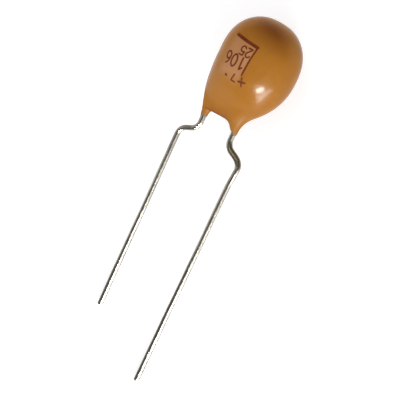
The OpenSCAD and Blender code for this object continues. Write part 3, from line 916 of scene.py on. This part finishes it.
def soft_lamp(name, place, aim, size, power):
    """A rectangular soft lamp, in metres and watts, facing the point that it is aimed at."""
    lamp = bpy.data.lights.new(name, "AREA")
    lamp.shape = "RECTANGLE"
    lamp.size, lamp.size_y = size
    lamp.energy = power
    holder = bpy.data.objects.new(name, lamp)
    back = np.array(place) - np.array(aim)
    back = back / np.linalg.norm(back)
    right = np.cross((0, 0, 1), back)
    right = right / np.linalg.norm(right)
    up = np.cross(back, right)
    turn = Matrix(np.array([right, up, back]).T.tolist()).to_4x4()
    holder.matrix_world = Matrix.Translation(place) @ turn
    holder.visible_camera = False
    bpy.context.scene.collection.objects.link(holder)
    return holder


DROP_MIDDLE = (0.0, 0.011, 0.003)
WIRES_MIDDLE = (0.0, -0.004, 0.003)
FOOT_MIDDLE = (0.0, 0.0, 0.003)
KINK_PLACE = (0.002, 0.005, 0.003)
# Name, place, aim, size and power of each lamp.
soft_lamp("key_lamp", (0.18, -0.18, 0.12), DROP_MIDDLE, (0.10, 0.12), 0.40)
shine_lamp = soft_lamp("shine_lamp", (0.143, -0.167, 0.092), DROP_MIDDLE, (0.105, 0.036), 1.8)
shine_lamp.visible_diffuse = False
low_window = soft_lamp("low_window", (0.17, -0.17, 0.025), DROP_MIDDLE, (0.2, 0.04), 0.72)
low_window.visible_diffuse = False
fill_lamp = soft_lamp("fill_lamp", (-0.07, 0.15, 0.12), DROP_MIDDLE, (0.12, 0.12), 0.06)
fill_lamp.visible_glossy = False
soft_lamp("left_card", (-0.06, -0.024, 0.016), WIRES_MIDDLE, (0.014, 0.03), 0.0014)
soft_lamp("kink_card", (-0.026, 0.003, 0.077), KINK_PLACE, (0.016, 0.016), 0.0024)
soft_lamp("left_panel", (-0.06, -0.004, 0.04), FOOT_MIDDLE, (0.052, 0.035), 0.005)
soft_lamp("right_panel", (0.09, -0.043, 0.045), WIRES_MIDDLE, (0.055, 0.07), 0.016)

# The room: dim for the light that falls on the object, dimmer in its gloss, white behind it.
ROOM_LIGHT = 0.48
ROOM_TINT = (0.97, 0.98, 1.0, 1)
GLOSS_LIGHT = 0.16
GLOSS_TINT = (1.0, 0.98, 0.95, 1)
world = bpy.data.worlds.new("studio")
bpy.context.scene.world = world
world.use_nodes = True
tree = world.node_tree
tree.nodes.clear()
rays = tree.nodes.new("ShaderNodeLightPath").outputs
dim = add_node(tree, "ShaderNodeBackground", Color=ROOM_TINT, Strength=ROOM_LIGHT).outputs[0]
dimmer = add_node(tree, "ShaderNodeBackground", Color=GLOSS_TINT, Strength=GLOSS_LIGHT).outputs[0]
white = add_node(tree, "ShaderNodeBackground", Color=(1, 1, 1, 1), Strength=1.0).outputs[0]
room = add_node(tree, "ShaderNodeMixShader", i0=rays["Is Glossy Ray"], i1=dim, i2=dimmer).outputs[0]
whole = add_node(tree, "ShaderNodeMixShader", i0=rays["Is Camera Ray"], i1=room, i2=white).outputs[0]
tree.links.new(whole, tree.nodes.new("ShaderNodeOutputWorld").inputs["Surface"])


# ---- Camera ----
# It looks down on the marked face from the positive side and the crown, a little rolled, so
# that the leads run to the lower left.  Its place and its axes are given upright, like the
# new pieces, and are laid on the bench in the same way.
CAMERA_PLACE = (45.1533, -89.7069, 24.7154)
CAMERA_RIGHT = (0.761728, 0.503984, 0.407149)
CAMERA_UP = (-0.492686, 0.0424834, 0.86917)
CAMERA_BACK = (0.420751, -0.862667, 0.280667)
SENSOR = 36.0
LENS = 111.96

view = bpy.data.cameras.new("camera")
view.sensor_width = SENSOR
view.lens = LENS
view.clip_start = 0.005
view.clip_end = 10.0
camera = bpy.data.objects.new("camera", view)
axes = Matrix((np.array([CAMERA_RIGHT, CAMERA_UP, CAMERA_BACK]) @ TURN).T.tolist()).to_4x4()
camera.matrix_world = Matrix.Translation(laid(CAMERA_PLACE).tolist()) @ axes
bpy.context.scene.collection.objects.link(camera)
bpy.context.scene.camera = camera
bpy.context.scene.view_settings.view_transform = "Standard"
